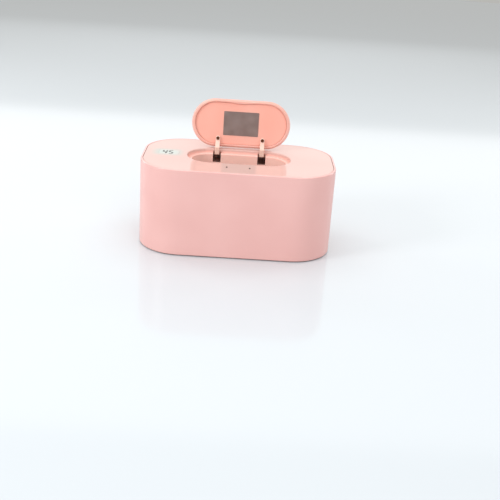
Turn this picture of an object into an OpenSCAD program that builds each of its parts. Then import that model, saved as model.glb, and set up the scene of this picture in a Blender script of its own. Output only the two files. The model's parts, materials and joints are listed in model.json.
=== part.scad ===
// A baby wipe warmer: a rounded tub with an inset, hinged cover and a flip lid on two goose-neck arms.
// X runs along the length, Y to the back, Z up; the origin is on the floor under the middle of the body.

/* [Body] */
// Overall width of the body
body_w = 235; // [215:1:260]
// Overall depth of the body
body_d = 144; // [136:1:156]
// Height of the deck above the floor
body_h = 106; // [98:1:125]
// Radius of the body's corners in plan
corner_r = 51; // [46:1:55]
// Thickness of the outer wall
wall_t = 2.4; // [2:0.1:3]
// Radius on the outer edge of the rim
rim_round = 1.4; // [0.8:0.1:1.6]
// Radius on the wall's lower edge
hem_round = 1; // [0.6:0.1:1.4]
// How far the feet stand out below the base
foot_h = 1.2; // [0.8:0.1:2]
// Thickness of the base plate
base_t = 3; // [2.6:0.1:4]

/* [Cover] */
// Height of the hinged cover, deck to underside
cover_h = 22; // [20:0.5:25]
// Gap between the cover's edge and the rim
cover_gap = 0.5; // [0.4:0.05:0.8]
// Thickness of the deck
deck_t = 1.8; // [1.5:0.1:2]
// Radius on the deck's outer edge
deck_round = 0.5; // [0.3:0.1:0.8]
// Height of the cover's full-width edge
edge_h = 4; // [3:0.5:5]
// How far the skirt steps in below that edge
skirt_step = 2.2; // [1.8:0.1:2.6]
// Thickness of the skirt
skirt_t = 2; // [1.6:0.1:2.4]
// Thickness of the plate that closes the cover's underside
liner_t = 2.4; // [2.2:0.1:3]

/* [Dispensing opening] */
// Width of the lid
lid_w = 124; // [112:1:134]
// Depth of the lid
lid_d = 60; // [54:1:62]
// Place of the lid's middle behind the body's middle
lid_y = 0; // [-2:0.5:2]
// Gap between the lid and the recess
lid_gap = 0.9; // [0.8:0.05:1.2]
// Height of the lid's rim
lid_t = 4.6; // [4.4:0.1:5]
// Width of the ledge that the lid rests on
ledge_w = 5.5; // [5:0.1:6.5]
// Wall of the recess and of the well below it
well_t = 2; // [1.8:0.1:2.2]
// Radius on the upper edges of the recess and the well
mouth_r = 1.4; // [0.6:0.1:1.6]

/* [Lid] */
// Width of the lid's raised rim
lid_rim = 3; // [2.6:0.1:3.6]
// Draft of the rim's outer side, top to bottom
lid_draft = 1.5; // [1.4:0.05:1.7]
// Thickness of the lid's top skin
lid_skin = 1.6; // [1.4:0.1:1.8]
// Thickness of the panel inside the lid
panel_t = 1; // [0.8:0.1:1.2]
// Width of the blank foil plate
plate_w = 44; // [36:1:48]
// Depth of the blank foil plate
plate_d = 30; // [22:1:32]
// Length of the finger bump on the rim's inner side
bump_w = 30; // [20:1:40]
// Height of the finger bump
bump_h = 1.2; // [0.8:0.1:1.5]

/* [Lid hinge] */
// Distance of the lid pin behind the recess
pin_back = 5; // [4.8:0.1:5.4]
// Depth of the lid pin below the deck
pin_drop = 4.6; // [4.5:0.1:5]
// Diameter of the lid pin
pin_d = 2; // [1.8:0.1:2.2]
// Distance between the two arms
arm_pitch = 56.2; // [50:0.2:62]
// Width of an arm
arm_w = 5.8; // [5:0.1:6.4]
// Thickness of an arm
arm_t = 3; // [2.6:0.1:3]
// Width of an arm's slot
slot_w = 10; // [9:0.5:11]
// How far the lid leans back when it is open, in degrees
lid_lean = 7; // [5:0.5:8]

/* [Cover hinge] */
// Radius of the cover hinge's knuckles
knuckle_r = 3; // [2.8:0.1:3.4]
// Distance of each hinge from the middle
hinge_x = 30; // [28:1:40]
// Length of the cover's knuckle
knuckle_l = 12; // [10:1:16]
// Diameter of the cover hinge's pins
hinge_pin_d = 2.4; // [2:0.1:2.6]

/* [Tub and heater] */
// Wall of the wipe tub
tub_t = 1.6; // [1.2:0.1:2]
// Height of the tub's underside above the floor
tub_z = 22; // [21:0.5:24]
// Height of the rubber seal
seal_h = 2.5; // [2:0.1:3]
// Width of the rubber seal
seal_w = 3; // [2.6:0.1:3.2]
// Length of the heating film
film_w = 150; // [130:1:160]
// Depth of the heating film
film_d = 84; // [76:1:92]
// Thickness of the insulation pad
pad_t = 4; // [3:0.5:4.5]

/* [Display] */
// Place of the display's middle from the body's left end
display_x = 31.5; // [29.5:0.5:34]
// Place of the display behind the middle
display_y = 3; // [0:0.5:6]
// Width of the display window
window_w = 24; // [20:1:26]
// Depth of the display window
window_d = 20; // [16:1:24]
// Distance between the two indicator lights
light_pitch = 27; // [22:0.5:30]
// Diameter of an indicator light
light_d = 1.5; // [1.2:0.1:2]

/* [Electronics] */
// Width of the control board
board_w = 62; // [56:1:66]
// Depth of the control board
board_d = 40; // [36:1:42]
// Place of the control board's middle
board_x = 44; // [40:1:48]
// Place of the power inlet along the back
inlet_x = 36; // [34:1:40]

/* [Hidden] */
$fn = 72;

// Colours, as the object shows them
body_pink = [0.93, 0.74, 0.72];
deck_pink = [0.99, 0.88, 0.85];
lid_pink = [1, 0.75, 0.68];
panel_salmon = [1, 0.7, 0.63];
arm_cream = [1, 0.88, 0.82];
steel = [0.75, 0.75, 0.77];
dark_steel = [0.2, 0.16, 0.14];
board_green = [0.1, 0.4, 0.25];
rubber_grey = [0.45, 0.43, 0.42];
tub_white = [0.93, 0.92, 0.9];

eps = 0.01;         // overrun of a cut past the face that it opens
fit_gap = 0.3;      // clearance round a part that drops into another
run_gap = 0.05;     // radial clearance of a pin in its bore
swing_gap = 0.4;    // clearance beside a part that swings
sink = 0.6;         // how far a rib or boss runs into the wall that carries it

// Insets from the body's outline, from the outside in
edge_in = wall_t + cover_gap;
skirt_in = edge_in + skirt_step;
cavity_in = skirt_in + skirt_t;
flange_in = wall_t + swing_gap;
tub_in = cavity_in + 0.1;
shoulder_in = tub_in - swing_gap;
base_in = wall_t + fit_gap;

// Heights of the cover and the tub
deck_z = body_h - deck_t;
liner_z = body_h - cover_h;
liner_top = liner_z + liner_t;
flange_t = 2;
shoulder_t = 2;
shoulder_z = liner_z - seal_h - flange_t;
tub_floor = tub_z + tub_t;
base_top = foot_h + base_t;

// The recess, its ledge and the well
recess_w = lid_w + 2 * lid_gap;
recess_d = lid_d + 2 * lid_gap;
rest_gap = 0.1;
ledge_z = body_h - lid_t - rest_gap;
well_w = recess_w - 2 * ledge_w;
well_d = recess_d - 2 * ledge_w;
recess_back = lid_y + recess_d / 2;

// The lid's pin, and its arms in the open pose, from the pin
open_turn = 90 + lid_lean;
pin_y = recess_back + pin_back;
pin_z = body_h - pin_drop;
hub_r = pin_d / 2 + 1.4;
slot_top = 3;       // slot's upper end below the deck
slot_low = 16;      // slot's lower end below the deck
arm_gap = 0.8;      // clearance between an open arm and the deck's edge
elbow_y = -(pin_back + arm_gap + arm_t / 2);
elbow_low = pin_drop - slot_top - arm_gap - arm_t / 2;
elbow_high = pin_drop + 2;
screw_up = 11;      // arm screw from the lid's back edge
pad_y = -(pin_back + lid_gap + screw_up);
pad_top = pin_drop - lid_skin - panel_t;
pad_t2 = 2.2;       // thickness of an arm's flat end
pad_len = 3.8;      // straight length of an arm's flat end
heel_low = 0.1;     // drop of the arm's bend below the flat end's top
arm_head_d = 4;
arm_head_h = 1.2;

// The cover's hinge
hinge_y = body_d / 2 + knuckle_r + fit_gap;
hinge_drop = 1.5;   // hinge axis below the deck
hinge_z = body_h - hinge_drop;
ear_l = 8;          // length of a shell knuckle
tab_t = 2;          // thickness of the tab that joins a cover knuckle
gusset_h = 9;

// Screws: shank diameter, head diameter and head height
base_screw = [3, 5.6, 1.8];
board_screw = [2, 3.8, 1.4];
liner_screw = [2.6, 5, 1.4];
bracket_screw = [2.2, 4, 1.4];
arm_screw_d = 2;
drive_w = 0.6;      // width of a cross slot
pilot_gap = 0.02;   // clearance round a screw's shank in its boss
cross_share = 0.6;  // length of a cross slot, as a share of its head

function flip(list) = [for (s = [[1, 1], [-1, 1], [-1, -1], [1, -1]]) [s[0] * list[0], s[1] * list[1]]];

corner_mid = [body_w / 2 - corner_r, body_d / 2 - corner_r];
seat_wall = 1.2;    // what is left of the base plate outside a screw's seat
boss_reach = corner_r - base_in - base_screw[1] / 2 - fit_gap - seat_wall;
boss_r = corner_r - wall_t + sink - boss_reach;
base_screw_xy = flip(corner_mid + boss_reach * [cos(45), sin(45)]);
base_boss_h = 10;
foot_d = 14;
foot_sink = 0.8;
foot_out = 12;      // corner feet from the corner's centre, along X
foot_in = 26;       // corner feet from the body's side, along Y
foot_xy = concat(flip([corner_mid[0] + foot_out, body_d / 2 - foot_in]), [[0, 0]]);

liner_boss_r = 3.5;
liner_boss_in = 3;  // clearance of the liner's bosses from the skirt
liner_turn = 42;    // direction of the corner bosses, in degrees
liner_front_x = 36;
liner_pilot_h = 9;
liner_reach = corner_r - cavity_in - liner_boss_r - liner_boss_in;
liner_screw_xy = concat(
    flip(corner_mid + liner_reach * [cos(liner_turn), sin(liner_turn)]),
    [for (s = [-1, 1]) [s * liner_front_x, -(body_d / 2 - cavity_in - liner_boss_r - liner_boss_in)]]
);

board_t = 1.6;
standoff_h = 4;
board_z = base_top + standoff_h;
board_in = 5;       // gap between the board and the back wall
board_y = body_d / 2 - wall_t - board_in - board_d / 2;
board_edge = 3.5;   // screw holes from the board's edges
board_hole = [board_w / 2 - board_edge, board_d / 2 - board_edge];
board_screw_xy = [for (p = flip(board_hole)) p + [board_x, board_y]];
standoff_r = 2.6;

usb_w = 8.94;
usb_h = 3.2;
usb_l = 9.5;
usb_t = 0.3;
usb_face = body_d / 2 - 1;
usb_z = board_z + board_t + usb_h / 2;

usb_back = 1;       // thickness of the inlet's closed end
spreader_t = 1;
spreader_over = 15; // spreader past the film's ends
film_t = 0.3;
film_r = 4;         // corner radius of the film and its pad
film_z = tub_z - spreader_t - film_t;
tail_w = 14;        // width of the film's tail, above the terminals
tail_l = 8;
tail_out = 12;      // tail's middle from the board's middle
tail_x = board_x + tail_out;
lead_d = 1.6;
lead_pitch = 6;
terminal_h = 5;
tail_lap = 2;       // overlap of the tail and the film
terminal_d = 7;
terminal_y = film_d / 2 + tail_l / 2;
terminal_floor = 2; // what is left under a terminal's wire hole
cutoff_d = 4;
cutoff_l = 11;
sensor_x = film_w / 2 + 8;
sensor_d = 3;

contact_x = -52;
contact_w = 12;
contact_h = 8;
contact_z = liner_z + 4;
contact_t = skirt_in - wall_t - 0.5;
contact_in = 1;     // pad's edge inside the block's edge
ribbon_w = 8;
ribbon_t = 0.6;
ribbon_y = body_d / 2 - wall_t - 1.6;
ribbon_low = base_top + 8;
ribbon_slot = [ribbon_w + 2, ribbon_t + 1];

display_mid = display_x - body_w / 2;
lens_t = 1.2;
lens_gap = 0.1;
lens_r = 3;
lens_step = 2;
module_h = 4;
display_board_t = 1.2;
module_z = body_h - lens_t - module_h - 0.2;
display_board_z = module_z - display_board_t;
display_board_w = window_w + 10;
display_board_d = window_d + 8;
post_r = 2;
post_in = 2.8;      // display posts from the board's ends
post_x = display_board_w / 2 - post_in;
pillar_r = 2.5;
post_pin = 1;       // display post's pin below its board

light_in = 25;      // lights from the body's front
light_y = -(body_d / 2 - light_in);
indicator_t = 1.2;
indicator_z = deck_z - 7;
pipe_r = 1.7;
socket_t = 1.2;
socket_h = 3;
indicator_w = light_pitch + 10;
indicator_d = 9;
diode = [2, 1.4, 1];

bracket_low = pin_z - 4.4;
bracket_t = 2;
bracket_front = 4.6;
bracket_d = 8.2;
bracket_over = 11;  // bracket past the middle of an arm
bracket_w = arm_pitch + 2 * bracket_over;
ear_t = 2.4;
ear_off = arm_w / 2 + swing_gap + ear_t / 2;
bracket_screw_x = 12;
bracket_boss_r = 3;
bracket_pilot_h = 6;
bracket_mid = bracket_front + bracket_d / 2;
pin_over = 1.5;     // lid pin past the outer ears

// The lid, shut, from its pin
lid_edge = 0.5;     // radius on the lid's outer edge
lid_back = -(pin_back + lid_gap);
lid_mid = lid_back - lid_d / 2;
lid_low = pin_drop - lid_t;
lid_boss_r = 3;     // bosses for the arm screws, which pass through the panel

// A rounded outline, set in from the body's own by an inset
module body_outline(inset) {
    w = body_w - 2 * inset;
    d = body_d - 2 * inset;
    r = corner_r - inset;
    square([w - 2 * r, d], center = true);
    square([w, d - 2 * r], center = true);
    for (x = [-1, 1], y = [-1, 1])
        translate([x * (w / 2 - r), y * (d / 2 - r)]) circle(r);
}

// An outline with round ends
module stadium(w, d) {
    square([w - d, d], center = true);
    for (x = [-1, 1]) translate([x * (w - d) / 2, 0]) circle(d / 2);
}

// The body's outline, from one height up to another
module body_slab(inset, low, high) {
    translate([0, 0, low]) linear_extrude(high - low) body_outline(inset);
}

// A slab with round ends round the lid's middle
module lid_slab(w, d, low, high) {
    translate([0, lid_y, low]) linear_extrude(high - low) stadium(w, d);
}

// A plate with four round corners, on its own middle
module rounded_plate(w, d, t, r) {
    linear_extrude(t) {
        square([w - 2 * r, d], center = true);
        square([w, d - 2 * r], center = true);
        for (x = [-1, 1], y = [-1, 1]) translate([x * (w / 2 - r), y * (d / 2 - r)]) circle(r);
    }
}

// What is cut off a square corner to round it, from the round's own centre
module corner_cut(r) {
    difference() {
        square(r + 1);
        circle(r);
    }
}

// Sweeps a section round the body's outline: its x is 0 on the outline and negative inside
module sweep_body() {
    for (q = [0:3]) {
        side = q % 2 == 0 ? [corner_mid[0], corner_mid[1]] : [corner_mid[1], corner_mid[0]];
        rotate([0, 0, q * 90]) {
            translate([side[0], side[1], 0]) rotate_extrude(angle = 90) translate([corner_r, 0]) children();
            translate([side[0] + corner_r, side[1], 0]) rotate([90, 0, 0])
                linear_extrude(2 * side[1]) children();
        }
    }
}

// Sweeps a section round an outline with round ends, as sweep_body does
module sweep_stadium(w, d) {
    for (a = [0, 180]) rotate([0, 0, a]) {
        translate([(w - d) / 2, 0, 0]) rotate([0, 0, -90])
            rotate_extrude(angle = 180) translate([d / 2, 0]) children();
        translate([(w - d) / 2, -d / 2, 0]) rotate([0, 0, -90]) rotate([90, 0, 0])
            linear_extrude(w - d) children();
    }
}

// Extrudes a YZ section along X, centred on x
module along_x(x, l) {
    translate([x - l / 2, 0, 0]) rotate([90, 0, 90]) linear_extrude(l) children();
}

// A round bar along X
module bar_x(x, y, z, r, l) {
    translate([x - l / 2, y, z]) rotate([0, 90, 0]) cylinder(r = r, h = l);
}

// A bar with round ends between two points of a plane
module link(a, b, t) {
    span = norm(b - a);
    translate(a) rotate(atan2(b[1] - a[1], b[0] - a[0])) translate([0, -t / 2]) square([span, t]);
    for (p = [a, b]) translate(p) circle(t / 2);
}

// A pan-head screw that points up from its head's underside at z = 0
module screw(size, l) {
    cross_l = size[1] * cross_share;
    difference() {
        union() {
            translate([0, 0, -eps]) cylinder(d = size[0], h = l + eps);
            translate([0, 0, -size[2]]) cylinder(d = size[1], h = size[2]);
        }
        for (a = [0, 90]) rotate(a) translate([-cross_l / 2, -drive_w / 2, -size[2] - eps])
            cube([cross_l, drive_w, size[2] / 2]);
    }
}

// A blind hole for a screw's shank
module pilot(size, l) {
    cylinder(d = size[0] + 2 * pilot_gap, h = l);
}

// A through hole and the sunk seat of a screw's head
module screw_seat(size, low, t) {
    translate([0, 0, low - eps]) cylinder(d = size[0] + 2 * fit_gap, h = t + 2 * eps);
    translate([0, 0, low - eps]) cylinder(d = size[1] + 2 * fit_gap, h = size[2] + eps);
}

// Body

module shell_section() {
    difference() {
        union() {
            translate([-wall_t, foot_h]) square([wall_t, body_h - foot_h]);
            translate([-shoulder_in, shoulder_z - shoulder_t])
                square([shoulder_in - wall_t + sink, shoulder_t]);
        }
        translate([-rim_round, body_h - rim_round]) corner_cut(rim_round);
        translate([-hem_round, foot_h + hem_round]) mirror([0, 1]) corner_cut(hem_round);
    }
}

module shell_knuckle(x) {
    along_x(x, ear_l) {
        translate([hinge_y, hinge_z]) circle(knuckle_r);
        polygon([
            [body_d / 2 - sink, hinge_z - gusset_h],
            [hinge_y + knuckle_r * 0.8, hinge_z - knuckle_r * 0.6],
            [hinge_y, hinge_z],
            [body_d / 2 - sink, hinge_z]
        ]);
    }
}

module outer_shell() {
    color(body_pink) difference() {
        union() {
            sweep_body() shell_section();
            for (p = base_screw_xy) translate([p[0], p[1], base_top]) cylinder(r = boss_r, h = base_boss_h);
            for (s = [-1, 1], e = [-1, 1])
                shell_knuckle(s * hinge_x + e * (knuckle_l / 2 + swing_gap + ear_l / 2));
        }
        for (p = base_screw_xy) translate([p[0], p[1], base_top - eps]) pilot(base_screw, base_boss_h - 1);
        for (s = [-1, 1]) {
            translate([s * hinge_x, body_d / 2 - wall_t / 2, body_h])
                cube([knuckle_l + 2 * swing_gap, wall_t + 2, 2 * (tab_t + swing_gap)], center = true);
            bar_x(s * hinge_x, hinge_y, hinge_z, hinge_pin_d / 2, knuckle_l + 2 * (swing_gap + ear_l) + 1);
        }
        translate([inlet_x, body_d / 2 + 1, usb_z]) rotate([90, 0, 0])
            linear_extrude(wall_t + 2) stadium(usb_w + 2 * fit_gap, usb_h + 2 * fit_gap);
        translate([contact_x, ribbon_y + ribbon_t / 2, shoulder_z - shoulder_t / 2])
            cube([ribbon_slot[0], ribbon_slot[1], shoulder_t + 1], center = true);
    }
}

module base_plate() {
    vent_pitch = 6;
    vent_l = 26;
    vent_w = 2.2;
    vent_side = 4;
    color(body_pink) difference() {
        union() {
            body_slab(base_in, foot_h, base_top);
            for (p = board_screw_xy) translate([p[0], p[1], base_top - eps])
                cylinder(r = standoff_r, h = standoff_h + eps);
        }
        for (p = base_screw_xy) translate([p[0], p[1], 0]) screw_seat(base_screw, foot_h, base_t);
        for (p = foot_xy) translate([p[0], p[1], foot_h - eps]) cylinder(d = foot_d, h = foot_sink + eps);
        for (p = board_screw_xy) translate([p[0], p[1], base_top]) pilot(board_screw, standoff_h + 1);
        for (i = [-vent_side:vent_side]) translate([i * vent_pitch, -body_d / 4, foot_h - eps])
            linear_extrude(base_t + 2 * eps) rotate(90) stadium(vent_l, vent_w);
    }
}

module base_screws(i) {
    p = base_screw_xy[i];
    color(steel) translate([p[0], p[1], foot_h + base_screw[2]]) screw(base_screw, base_boss_h);
}

module rubber_foot(i) {
    p = foot_xy[i];
    color(rubber_grey) translate([p[0], p[1], 0]) cylinder(d = foot_d, h = foot_h + foot_sink);
}

module wipe_tub() {
    color(tub_white) difference() {
        union() {
            body_slab(tub_in, tub_z, shoulder_z + flange_t);
            body_slab(flange_in, shoulder_z, shoulder_z + flange_t);
        }
        body_slab(tub_in + tub_t, tub_floor, body_h);
        translate([contact_x, ribbon_y + ribbon_t / 2, shoulder_z + flange_t / 2])
            cube([ribbon_slot[0], ribbon_slot[1], flange_t + 1], center = true);
    }
}

module heat_spreader() {
    color("silver") translate([0, 0, tub_z - spreader_t])
        rounded_plate(film_w + 2 * spreader_over, film_d + spreader_over, spreader_t, 2 * film_r);
}

module heater_film() {
    color("orange") translate([0, 0, film_z]) {
        rounded_plate(film_w, film_d, film_t, film_r);
        translate([tail_x - tail_w / 2, film_d / 2 - tail_lap, 0]) cube([tail_w, tail_l + tail_lap, film_t]);
    }
}

module insulation_pad() {
    color("gray") translate([0, 0, film_z - pad_t]) rounded_plate(film_w, film_d, pad_t, film_r);
}

module thermistor() {
    ring = [7, 5, 1];
    color("black") translate([-sensor_x, 0, tub_z - spreader_t - sensor_d]) {
        cylinder(d = sensor_d, h = sensor_d);
        translate([-ring[0] / 2, -ring[1] / 2, sensor_d - ring[2]]) cube(ring);
    }
}

module thermal_cutoff() {
    clamp_in = 2;
    color("white") translate([sensor_x, -cutoff_l, tub_z - spreader_t - cutoff_d / 2]) {
        rotate([-90, 0, 0]) cylinder(d = cutoff_d, h = cutoff_l);
        translate([-cutoff_d / 2, clamp_in, 0]) cube([cutoff_d, cutoff_l - 2 * clamp_in, cutoff_d / 2]);
    }
}

module control_board() {
    chip_w = 7;
    chip_h = 1;
    chip_left = 15.5;
    chip_front = 5.5;
    resistor_w = 2;
    resistor_d = 1.2;
    resistor_h = 0.8;
    resistor_right = 4;
    resistor_front = 13;
    resistor_pitch = 4;
    color(board_green) difference() {
        union() {
            translate([board_x, board_y, board_z]) rounded_plate(board_w, board_d, board_t, 2);
            translate([board_x, board_y, board_z + board_t - eps]) {
                translate([-chip_left, -chip_front, 0]) cube([chip_w, chip_w, chip_h]);
                for (i = [0:3]) translate([resistor_right + i * resistor_pitch, -resistor_front, 0])
                    cube([resistor_w, resistor_d, resistor_h]);
            }
        }
        for (p = board_screw_xy) translate([p[0], p[1], board_z - eps])
            cylinder(d = board_screw[0] + 2 * fit_gap, h = board_t + 2 * eps);
    }
}

module usb_shell() {
    color(steel) translate([inlet_x, usb_face, usb_z]) rotate([90, 0, 0]) difference() {
        linear_extrude(usb_l) stadium(usb_w, usb_h);
        translate([0, 0, -eps]) linear_extrude(usb_l - usb_back + eps)
            stadium(usb_w - 2 * usb_t, usb_h - 2 * usb_t);
    }
}

module usb_tongue() {
    tongue = [6.6, 5.5, 0.7];
    base_l = 2.5;
    color("black") translate([inlet_x, usb_face - usb_l + usb_back, usb_z]) {
        rotate([-90, 0, 0]) linear_extrude(base_l) stadium(usb_w - 2 * usb_t, usb_h - 2 * usb_t);
        translate([-tongue[0] / 2, base_l - eps, -tongue[2] / 2]) cube(tongue);
    }
}

module power_coil() {
    coil_d = 9;
    coil_h = 5;
    base_h = 1;
    coil_left = 20;
    coil_back = 8;
    color("dimgray") translate([board_x - coil_left, board_y + coil_back, board_z + board_t]) {
        translate([-coil_d / 2, -coil_d / 2, 0]) cube([coil_d, coil_d, base_h]);
        cylinder(d = coil_d - 1, h = coil_h);
    }
}

module terminal_block() {
    low = board_z + board_t;
    color("ivory") difference() {
        translate([tail_x - tail_w / 2, terminal_y - terminal_d / 2, low])
            cube([tail_w, terminal_d, terminal_h]);
        for (s = [-1, 1]) translate([tail_x + s * lead_pitch / 2, terminal_y, low + terminal_floor])
            cylinder(d = lead_d, h = terminal_h);
    }
}

module heater_leads() {
    low = board_z + board_t + terminal_floor;
    color("firebrick") for (s = [-1, 1])
        translate([tail_x + s * lead_pitch / 2, terminal_y, low]) cylinder(d = lead_d, h = film_z - low);
}

module board_screws(i) {
    p = board_screw_xy[i];
    color(steel) translate([p[0], p[1], board_z + board_t]) rotate([180, 0, 0]) screw(board_screw, 5);
}

module rim_seal() {
    mid = (skirt_in + cavity_in) / 2;
    bead = 0.8;
    color(rubber_grey) sweep_body() translate([-mid - seal_w / 2, shoulder_z + flange_t]) {
        square([seal_w, seal_h - bead]);
        translate([(seal_w - skirt_t) / 2, 0]) square([skirt_t, seal_h]);
    }
}

module cover_hinge_pin(s) {
    l = knuckle_l + 2 * (swing_gap + ear_l);
    color(steel) bar_x(s * hinge_x, hinge_y, hinge_z, hinge_pin_d / 2, l);
}

module contact_block() {
    color("black") translate([contact_x, body_d / 2 - wall_t - contact_t / 2, contact_z + contact_h / 2])
        cube([contact_w, contact_t, contact_h], center = true);
}

module signal_ribbon() {
    end_in = 5;     // cable's end from the board's left edge
    end_l = 3;
    run_in = 14;    // cable's run from the board's back edge
    end_x = board_x - board_w / 2 + end_in;
    run_y = board_y + board_d / 2 - run_in;
    color("white") {
        translate([contact_x - ribbon_w / 2, ribbon_y, ribbon_low])
            cube([ribbon_w, ribbon_t, contact_z - ribbon_low]);
        translate([contact_x - ribbon_w / 2, run_y - ribbon_w / 2, ribbon_low])
            cube([ribbon_w, ribbon_y + ribbon_t - run_y + ribbon_w / 2, ribbon_t]);
        translate([contact_x - ribbon_w / 2, run_y - ribbon_w / 2, ribbon_low])
            cube([end_x - contact_x + ribbon_w / 2, ribbon_w, ribbon_t]);
        translate([end_x - end_l + 1, run_y - ribbon_w / 2, board_z + board_t])
            cube([end_l, ribbon_w, ribbon_low - board_z - board_t + ribbon_t]);
    }
}

// Cover

module cover_knuckle(x) {
    along_x(x, knuckle_l) {
        translate([hinge_y, hinge_z]) circle(knuckle_r);
        translate([body_d / 2 - edge_in - sink, body_h - tab_t])
            square([hinge_y - body_d / 2 + edge_in + sink, tab_t]);
    }
}

module cover_walls() {
    difference() {
        union() {
            body_slab(edge_in, body_h - edge_h, body_h);
            body_slab(skirt_in, liner_z, body_h - edge_h + eps);
        }
        body_slab(cavity_in, liner_z - eps, deck_z);
        sweep_body() translate([-edge_in - deck_round, body_h - deck_round]) corner_cut(deck_round);
    }
    lid_slab(recess_w + 2 * well_t, recess_d + 2 * well_t, ledge_z - well_t, deck_z + eps);
    lid_slab(well_w + 2 * well_t, well_d + 2 * well_t, liner_z, ledge_z);
}

module cover_bosses() {
    for (p = liner_screw_xy)
        translate([p[0], p[1], liner_top]) cylinder(r = liner_boss_r, h = deck_z - liner_top + eps);
    for (s = [-1, 1]) {
        translate([s * bracket_screw_x, pin_y + bracket_mid, bracket_low + bracket_t])
            cylinder(r = bracket_boss_r, h = deck_z - bracket_low - bracket_t + eps);
        translate([display_mid + s * post_x, display_y, display_board_z + display_board_t])
            cylinder(r = post_r, h = deck_z - display_board_z - display_board_t + eps);
        translate([display_mid + s * post_x, display_y, display_board_z - post_pin])
            cylinder(r = post_r / 2, h = display_board_t + post_pin + eps);
        translate([s * light_pitch / 2, light_y, deck_z - socket_h])
            cylinder(r = pipe_r + socket_t, h = socket_h + eps);
    }
}

module arm_slot(x) {
    front = well_d / 2 - 1;
    translate([x - slot_w / 2, lid_y + front, body_h - slot_low])
        cube([slot_w, recess_d / 2 + well_t + 0.5 - front, slot_low - slot_top]);
}

// Rounds the upper edge of an opening with round ends
module mouth_round(w, d, z, r) {
    translate([0, lid_y, 0]) sweep_stadium(w, d) difference() {
        translate([-1, z - r]) square([r + 1, r + 1]);
        translate([r, z - r]) circle(r);
        translate([-2, z - r - 1]) square([2 - eps, r + 3]);
    }
}

module cover_cuts() {
    lid_slab(recess_w, recess_d, ledge_z, body_h + 1);
    lid_slab(well_w, well_d, liner_z - 1, body_h);
    mouth_round(recess_w, recess_d, body_h, mouth_r);
    mouth_round(well_w, well_d, ledge_z, mouth_r);
    for (s = [-1, 1]) {
        arm_slot(s * arm_pitch / 2);
        bar_x(s * hinge_x, hinge_y, hinge_z, hinge_pin_d / 2 + run_gap, knuckle_l + 1);
        translate([s * bracket_screw_x, pin_y + bracket_mid, bracket_low])
            pilot(bracket_screw, bracket_pilot_h);
        translate([s * light_pitch / 2, light_y, deck_z - socket_h - eps])
            cylinder(r = pipe_r, h = socket_h + eps);
        translate([s * light_pitch / 2, light_y, deck_z - 1]) cylinder(d = light_d, h = deck_t + 2);
    }
    for (p = liner_screw_xy) translate([p[0], p[1], liner_top - eps]) pilot(liner_screw, liner_pilot_h);
    translate([display_mid, display_y, body_h - lens_t])
        rounded_plate(window_w + 2 * lens_gap, window_d + 2 * lens_gap, lens_t + 1, lens_r);
    translate([display_mid, display_y, deck_z - 1])
        rounded_plate(window_w - 2 * lens_step, window_d - 2 * lens_step, deck_t + 1, 1);
    translate([contact_x, body_d / 2 - skirt_in, contact_z + contact_h / 2])
        cube([contact_w - 4 * contact_in, 2 * skirt_t + 1, 2 * contact_in], center = true);
}

module cover_deck() {
    color(deck_pink) difference() {
        union() {
            cover_walls();
            cover_bosses();
            for (s = [-1, 1]) cover_knuckle(s * hinge_x);
        }
        cover_cuts();
    }
}

module cover_liner() {
    hole_over = 2 * (well_t + fit_gap);
    color(deck_pink) difference() {
        body_slab(cavity_in + fit_gap, liner_z, liner_top);
        lid_slab(well_w + hole_over, well_d + hole_over, liner_z - eps, liner_top + eps);
        for (p = liner_screw_xy) translate([p[0], p[1], 0]) screw_seat(liner_screw, liner_z, liner_t);
    }
}

module liner_screws(i) {
    p = liner_screw_xy[i];
    color(steel) translate([p[0], p[1], liner_z + liner_screw[2]]) screw(liner_screw, liner_pilot_h);
}

module display_lens() {
    color("aliceblue") translate([display_mid, display_y, body_h - lens_t])
        rounded_plate(window_w, window_d, lens_t, lens_r);
}

module display_module() {
    w = window_w - 2 * lens_step - 2 * lens_gap;
    d = window_d - 2 * lens_step - 2 * lens_gap;
    color("white") translate([display_mid, display_y, module_z]) rounded_plate(w, d, module_h, 1);
}

module display_board() {
    color(board_green) difference() {
        translate([display_mid, display_y, display_board_z])
            rounded_plate(display_board_w, display_board_d, display_board_t, 1.5);
        for (s = [-1, 1])
            translate([display_mid + s * post_x, display_y, display_board_z - eps])
            cylinder(r = post_r / 2, h = display_board_t + 2 * eps);
    }
}

module touch_pillar() {
    top = display_board_z + display_board_t;
    color("black") translate([display_mid, display_y - display_board_d / 2 + pillar_r + fit_gap, top])
        cylinder(r = pillar_r, h = deck_z - top);
}

module light_pipe(s) {
    top = indicator_z + indicator_t + diode[2];
    color("whitesmoke") translate([s * light_pitch / 2, light_y, 0]) {
        translate([0, 0, top]) cylinder(r = pipe_r, h = deck_z - top);
        translate([0, 0, deck_z - eps]) cylinder(d = light_d, h = deck_t - 0.2);
    }
}

module indicator_board() {
    color(board_green) translate([0, light_y, indicator_z]) {
        rounded_plate(indicator_w, indicator_d, indicator_t, 1);
        for (s = [-1, 1]) translate([s * light_pitch / 2, 0, indicator_t + diode[2] / 2 - eps])
            cube(diode, center = true);
    }
}

module hinge_bracket() {
    ear_h = pin_z - bracket_low + hub_r * 0.7;
    color(arm_cream) difference() {
        union() {
            translate([-bracket_w / 2, pin_y + bracket_front, bracket_low])
                cube([bracket_w, bracket_d, bracket_t]);
            for (s = [-1, 1], e = [-1, 1]) along_x(s * arm_pitch / 2 + e * ear_off, ear_t) {
                translate([pin_y, pin_z]) circle(hub_r);
                translate([pin_y, bracket_low]) square([bracket_front + 2, ear_h]);
            }
        }
        bar_x(0, pin_y, pin_z, pin_d / 2, bracket_w + 2);
        for (s = [-1, 1]) translate([s * bracket_screw_x, pin_y + bracket_mid, bracket_low - eps])
            cylinder(d = bracket_screw[0] + 2 * fit_gap, h = bracket_t + 2 * eps);
    }
}

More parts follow.
